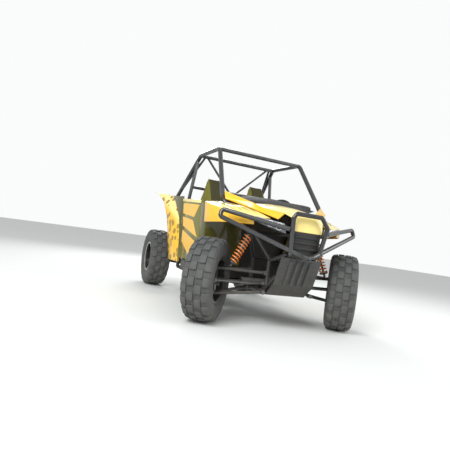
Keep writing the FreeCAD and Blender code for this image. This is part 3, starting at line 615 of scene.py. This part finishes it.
ring_profile = [(0.104, 0.186), (0.1145, 0.186), (0.1165, 0.190), (0.1165, 0.208),
                (0.1125, 0.2125), (0.104, 0.2125)]
bolt = turned("bead_bolt", [(-0.003, 0.0005), (0.004, 0.0005), (0.004, 0.0045), (-0.003, 0.0052)],
              6)
bolt.data.transform(Matrix.Translation((0.1165, 0, 0.199)))
bolts = run_tree(bolt, RING, Count=24, Material=bead_grey)
ring_master = join("ring_master", [turned("bead_ring", ring_profile, 96), bolts])
nut = turned("wheel_nut", [(0, 0.001), (0.016, 0.001), (0.016, 0.009), (0, 0.0115)], 6)
nut.data.transform(Matrix.Translation((0.048, 0, 0.034)))
nut_master = join("nut_master", [run_tree(nut, RING, Count=5, Material=bead_grey)])

spin_axis = {j["child"]: j["axis"] for j in frame["joints"]}
for wheel in ("front_left", "front_right", "rear_left", "rear_right"):
    low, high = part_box(f"tyre_{wheel}")
    axis = spin_axis[f"wheel_{wheel}"]
    steer = math.atan2(axis[1], axis[0])
    out = 0 if wheel.endswith("left") else math.pi
    place = Matrix.Translation((low + high) / 2) @ Matrix.Rotation(steer + out, 4, "Z")
    for master, label, material, slot in (
            (tyre_master, "tyre", rubber, "tyre"), (ring_master, "bead_ring", bead_grey, "rim"),
            (nut_master, "wheel_nuts", bead_grey, "rim")):
        piece = bpy.data.objects.new(f"{label}_{wheel}_piece", master.data.copy())
        bpy.context.scene.collection.objects.link(piece)
        piece.data.transform(place)
        stands = [f"tyre_{wheel}"] if label == "tyre" else ()
        wear_on(piece, material, f"wheel_{wheel}", stands)
    paint_nodes(rim_black, [f"rim_{wheel}"])
for master in (tyre_master, ring_master, nut_master):
    bpy.data.objects.remove(master)

# ---- Springs and dampers ---------------------------------------------------------------
# Each long-travel shock is a grey damper inside an open coil spring, wound from orange
# powder-coated wire and held between two collars.
spring_orange = finish("spring_orange", (0.90, 0.22, 0.01), 0.32, coat=0.7, depth=0.0001,
                       worn=(1, 0.75, 0.5), dust=0.1, vary=0.06)
damper_grey = finish("damper_grey", (0.10, 0.10, 0.105), 0.35, metal=0.6, depth=0.0002)
WIRE = 0.0068


def coil_tree():
    """A round wire wound into a coil about the Z axis."""
    tree, ins, outs = geometry_tree("CoilSpring", [
        ("Turns", "NodeSocketFloat"), ("Radius", "NodeSocketFloat"),
        ("Height", "NodeSocketFloat"), ("Wire", "NodeSocketFloat"),
        ("Material", "NodeSocketMaterial")])
    spiral = tree.nodes.new("GeometryNodeCurveSpiral")
    spiral.inputs["Resolution"].default_value = 28
    ring = tree.nodes.new("GeometryNodeCurvePrimitiveCircle")
    ring.inputs["Resolution"].default_value = 12
    sweep = tree.nodes.new("GeometryNodeCurveToMesh")
    sweep.inputs["Fill Caps"].default_value = True
    for source, target in (("Turns", "Rotations"), ("Radius", "Start Radius"),
                           ("Radius", "End Radius"), ("Height", "Height")):
        tree.links.new(ins.outputs[source], spiral.inputs[target])
    tree.links.new(ins.outputs["Wire"], ring.inputs["Radius"])
    tree.links.new(spiral.outputs["Curve"], sweep.inputs["Curve"])
    tree.links.new(ring.outputs["Curve"], sweep.inputs["Profile Curve"])
    close_tree(tree, ins, outs, sweep.outputs["Mesh"])
    return tree


COIL = coil_tree()


def islands(mesh):
    """The vertex positions of each separate part of a mesh."""
    work = bmesh.new()
    work.from_mesh(mesh)
    bmesh.ops.remove_doubles(work, verts=work.verts, dist=0.00002)
    seen, found = set(), []
    for start in work.verts:
        if start in seen:
            continue
        stack, part = [start], []
        seen.add(start)
        while stack:
            vert = stack.pop()
            part.append(vert.co.copy())
            for edge in vert.link_edges:
                other = edge.other_vert(vert)
                if other not in seen:
                    seen.add(other)
                    stack.append(other)
        found.append(part)
    work.free()
    return found


SPRING_ENDS = [((0.540, -1.15, 0.532), (0.374, -1.15, 0.880)),
               ((0.500, 0.900, 0.486), (0.414, 0.770, 0.990))]
SPRING_R = 0.042
coils = []
for foot, head in SPRING_ENDS:
    for sign in (1, -1):
        low = Vector((sign * foot[0], foot[1], foot[2]))
        high = Vector((sign * head[0], head[1], head[2]))
        along = high - low
        start = low + along * 0.10 + along.normalized() * (0.008 + WIRE)
        height = along.length * 0.78 - 0.008 - 2 * WIRE
        coil = solid("coil", [(0, 0, 0), (0.001, 0, 0), (0, 0.001, 0)], [(0, 1, 2)])
        run_tree(coil, COIL, Turns=8.5, Radius=SPRING_R - WIRE, Height=height, Wire=WIRE,
                 Material=spring_orange)
        turn = Vector((0, 0, 1)).rotation_difference(along).to_matrix().to_4x4()
        coil.data.transform(Matrix.Translation(start) @ turn)
        coils.append(coil)
wear_on(join("coil_springs", coils), spring_orange, stands_for=["shock_springs"])
paint_nodes(damper_grey, ["shock_absorbers"])

# ---- Suspension, driveline and engine -----------------------------------------------------
# Arms, uprights and rods are welded or cast steel under satin black; the engine and gear
# cases are dull cast alloy, and the silencer is heat-tinted steel.
arm_black = finish("arm_black", (0.013, 0.013, 0.014), 0.42, coat=0.3, depth=0.0006,
                   worn=(0.25, 0.25, 0.26), dust=0.45, dust_top=0.8)
cast_alloy = finish("cast_alloy", (0.20, 0.20, 0.20), 0.5, metal=0.7, grain=420.0,
                    depth=0.001, dust=0.5)
steel = finish("silencer_steel", (0.32, 0.30, 0.28), 0.38, metal=0.9, depth=0.0003, dust=0.3)
paint_nodes(arm_black, ["front_arms_left", "front_arms_right", "rear_arms_left",
                        "rear_arms_right", "knuckle_left", "knuckle_right", "tie_rod_left",
                        "tie_rod_right", "steering_rack", "steering_column"])
paint_nodes(cast_alloy, ["front_driveline", "rear_driveline"])
paint_nodes(steel, ["muffler"])
engine_low, engine_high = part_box("engine")
panel("engine", cast_alloy, width=0.02)
fin = bar("engine_fins", (engine_low.x, engine_low.y + 0.06, engine_low.z + 0.10),
          (engine_high.x, engine_low.y + 0.06, engine_low.z + 0.10), (0, 0, 0.006),
          (0, -0.062, 0))
run_tree(fin, ROW, Count=12, Step=(0, 0, 0.026), Material=cast_alloy)
wear_on(soften(fin, 0.001), cast_alloy)

# ---- Steering wheel -------------------------------------------------------------------------
# A small round steering wheel with a moulded rubber grip.
grip = finish("rubber_grip", (0.02, 0.02, 0.02), 0.62, grain=700.0, depth=0.0006, dust=0.05)
paint_nodes(grip, ["steering_wheel"])

# ---- Headlamps ---------------------------------------------------------------------------------
# Swept-back clear lamps, each with two round reflectors ringed by white light guides,
# in a grey housing.
lamp_grey = finish("lamp_grey", (0.33, 0.34, 0.36), 0.22, coat=1.0, depth=0.0001, dust=0.05,
                   wear=0.1, vary=0.3)
lamp_dark = finish("lamp_dark", (0.10, 0.10, 0.11), 0.2, coat=1.0, depth=0.0001, dust=0.0,
                   wear=0.0)
guide = finish("light_guide", (0.92, 0.93, 0.95), 0.3, depth=0.0001, dust=0.0, wear=0.0,
               vary=0.02)
panel("headlights", lamp_grey, width=0.006)
LAMP_FACE = [(0.215, -1.498, 0.992), (0.455, -1.404, 1.026), (0.452, -1.408, 0.980),
             (0.200, -1.515, 0.905)]


def on_lamp(u, v):
    """A point of the lamp's front, u from inner to outer end and v from foot to top."""
    inner_top, outer_top, outer_foot, inner_foot = (Vector(p) for p in LAMP_FACE)
    return inner_foot.lerp(inner_top, v).lerp(outer_foot.lerp(outer_top, v), u)


lamp_normal = (on_lamp(1, 0.5) - on_lamp(0, 0.5)).cross(on_lamp(0.5, 1) - on_lamp(0.5, 0))
lamp_normal.normalize()
if lamp_normal.y > 0:
    lamp_normal.negate()
for sign, side in ((1, "left"), (-1, "right")):
    rings, bowls = [], []
    for u, radius in ((0.22, 0.031), (0.53, 0.026)):
        hub = on_lamp(u, 0.50) + lamp_normal * 0.0015
        facing = Vector((1, 0, 0)).rotation_difference(lamp_normal).to_matrix().to_4x4()
        place = Matrix.Translation(hub) @ facing
        wire = [(0.004 * math.cos(a), radius + 0.004 * math.sin(a))
                for a in (k * math.pi / 4 for k in range(8))]
        ring = turned("ring", wire, 40)
        bowl = turned("bowl", [(-0.004, 0.0005), (0.0005, 0.0005), (0.0035, radius * 0.45),
                               (0.0015, radius * 0.85), (-0.004, radius * 0.85)], 40)
        for piece, group in ((ring, rings), (bowl, bowls)):
            piece.data.transform(place)
            group.append(piece)
    for group, label, material in ((rings, "guides", guide), (bowls, "bowls", lamp_dark)):
        whole = join(f"lamp_{label}_{side}", group)
        if sign < 0:
            whole.data.transform(Matrix.Scale(-1, 4, (1, 0, 0)))
            whole.data.flip_normals()
        wear_on(whole, material)
tail_red = finish("tail_red", (0.45, 0.01, 0.01), 0.2, coat=1.0, depth=0.0001, dust=0.1)
panel("taillights", tail_red, width=0.006)

# ---- Seats ----------------------------------------------------------------------------------------
# Two bucket seats in padded olive cloth with a darker centre panel, over
# moulded shells.
SEAT_X = 0.300
INSET = 0.010
VOXEL = 0.009
STUFFING_PRESSURE = 4.0
STUFFING_FRAMES = 14
SWELL_CAP = 0.016


def seat_panels(tree, place, shade):
    """A dark centre panel, measured from each seat's middle."""
    split = tree.nodes.new("ShaderNodeSeparateXYZ")
    tree.links.new(place, split.inputs[0])
    from_middle = math_node(tree, "ABSOLUTE", split.outputs["X"])
    across = math_node(tree, "ABSOLUTE", math_node(tree, "SUBTRACT", from_middle, SEAT_X))
    centre = math_node(tree, "LESS_THAN", across, 0.085)
    return mix_colour(tree, centre, shade, (0.035, 0.032, 0.004, 1))


cover = finish("seat_cover", (0.14, 0.13, 0.01), 0.75, grain=1100.0, depth=0.0012, wear=0.1,
               worn=(0.2, 0.2, 0.05), dust=0.1, pattern=seat_panels)


def pad_mesh(points_part, label):
    """A padded form blown up from one solid of the CAD seat."""
    work = bmesh.new()
    for point in points_part:
        work.verts.new(point)
    bmesh.ops.convex_hull(work, input=work.verts)
    loose = [v for v in work.verts if not v.link_faces]
    bmesh.ops.delete(work, geom=loose, context="VERTS")
    middle = sum((v.co for v in work.verts), Vector()) / len(work.verts)
    spans = [max(v.co[i] for v in work.verts) - min(v.co[i] for v in work.verts)
             for i in range(3)]
    for vert in work.verts:
        for i in range(3):
            vert.co[i] = middle[i] + (vert.co[i] - middle[i]) * (1 - 2 * INSET / spans[i])
    mesh = bpy.data.meshes.new(label)
    work.to_mesh(mesh)
    work.free()
    piece = bpy.data.objects.new(label, mesh)
    bpy.context.scene.collection.objects.link(piece)
    remesh = piece.modifiers.new("even", "REMESH")
    remesh.mode = "VOXEL"
    remesh.voxel_size = VOXEL
    applied(piece)
    rest = [v.co.copy() for v in piece.data.vertices]
    cloth = piece.modifiers.new("stuffing", "CLOTH")
    cloth.settings.use_pressure = True
    cloth.settings.uniform_pressure_force = STUFFING_PRESSURE
    cloth.settings.effector_weights.gravity = 0.0
    cloth.point_cache.frame_start = 1
    cloth.point_cache.frame_end = STUFFING_FRAMES
    for step in range(1, STUFFING_FRAMES + 1):
        bpy.context.scene.frame_set(step)
    applied(piece)
    bpy.context.scene.frame_set(1)
    for vert, old in zip(piece.data.vertices, rest):
        shift = vert.co - old
        if shift.length > SWELL_CAP:
            vert.co = old + shift.normalized() * SWELL_CAP
    smooth = piece.modifiers.new("ease", "SMOOTH")
    smooth.iterations = 4
    applied(piece)
    piece.data.shade_smooth()
    return piece


left_parts = islands(nodes["seat_left"].data)
pads = [pad_mesh(part, f"pad_{i}") for i, part in enumerate(left_parts)]
left_seat = join("seat_left_pads", pads)
left_seat.data.shade_smooth()
right_seat = bpy.data.objects.new("seat_right_pads", left_seat.data.copy())
bpy.context.scene.collection.objects.link(right_seat)
right_seat.data.transform(Matrix.Translation((-2 * SEAT_X, 0, 0)))
for piece, name in ((left_seat, "seat_left"), (right_seat, "seat_right")):
    wear_on(piece, cover, stands_for=[name])

# ---- Studio ---------------------------------------------------------------------------------------
# A plain pale floor, soft lights, and a low camera ahead of the vehicle's right corner.
floor_mesh = bpy.data.meshes.new("floor")
REACH = 40.0
floor_mesh.from_pydata([(-REACH, -REACH, 0), (REACH, -REACH, 0), (REACH, REACH, 0),
                        (-REACH, REACH, 0)], [], [(0, 1, 2, 3)])
floor = bpy.data.objects.new("floor", floor_mesh)
bpy.context.scene.collection.objects.link(floor)
floor_paint = bpy.data.materials.new("floor_paint")
floor_paint.use_nodes = True
floor_surface = floor_paint.node_tree.nodes["Principled BSDF"]
floor_surface.inputs["Base Color"].default_value = (0.72, 0.74, 0.73, 1)
floor_surface.inputs["Roughness"].default_value = 0.9
floor_mesh.materials.append(floor_paint)

world = bpy.data.worlds.new("studio")
world.use_nodes = True
sky = world.node_tree.nodes["Background"]
sky.inputs["Color"].default_value = (0.96, 0.97, 0.97, 1)
LIT_STRENGTH, SEEN_EXTRA = 0.72, 0.28
light_path = world.node_tree.nodes.new("ShaderNodeLightPath")
strength = math_node(world.node_tree, "MULTIPLY_ADD", light_path.outputs["Is Camera Ray"],
                     SEEN_EXTRA)
strength.node.inputs[2].default_value = LIT_STRENGTH
world.node_tree.links.new(strength, sky.inputs["Strength"])
bpy.context.scene.world = world


def soft_light(name, at, aim, width, power):
    data = bpy.data.lights.new(name, "AREA")
    data.size = width
    data.energy = power
    lamp = bpy.data.objects.new(name, data)
    bpy.context.scene.collection.objects.link(lamp)
    lamp.location = at
    lamp.rotation_euler = (Vector(aim) - Vector(at)).to_track_quat("-Z", "Y").to_euler()


soft_light("key", (-4.5, -4.5, 5.0), (0, 0, 0.7), 3.0, 420)
soft_light("fill", (5.0, -3.5, 3.0), (0, 0, 0.7), 4.0, 160)
soft_light("back", (1.0, 5.5, 4.5), (0, 0, 1.0), 3.0, 260)

CAMERA_AT = Vector((-2.034, -4.627, 0.779))
YAW, PITCH, ROLL = -0.379, 0.036, 0.135
FOCAL_MM = 31.9
forward = Vector((-math.sin(YAW), math.cos(YAW), 0))
rightward = Vector((math.cos(YAW), math.sin(YAW), 0))
straight_up = Vector((0, 0, 1))
look = forward * math.cos(PITCH) + straight_up * math.sin(PITCH)
lift = straight_up * math.cos(PITCH) - forward * math.sin(PITCH)
camera_x = rightward * math.cos(ROLL) + lift * math.sin(ROLL)
camera_y = lift * math.cos(ROLL) - rightward * math.sin(ROLL)
camera_data = bpy.data.cameras.new("camera")
camera_data.lens = FOCAL_MM
camera = bpy.data.objects.new("camera", camera_data)
bpy.context.scene.collection.objects.link(camera)
turn = Matrix((camera_x, camera_y, -look)).transposed().to_4x4()
camera.matrix_world = Matrix.Translation(CAMERA_AT) @ turn
bpy.context.scene.camera = camera
bpy.context.scene.view_settings.view_transform = "Standard"
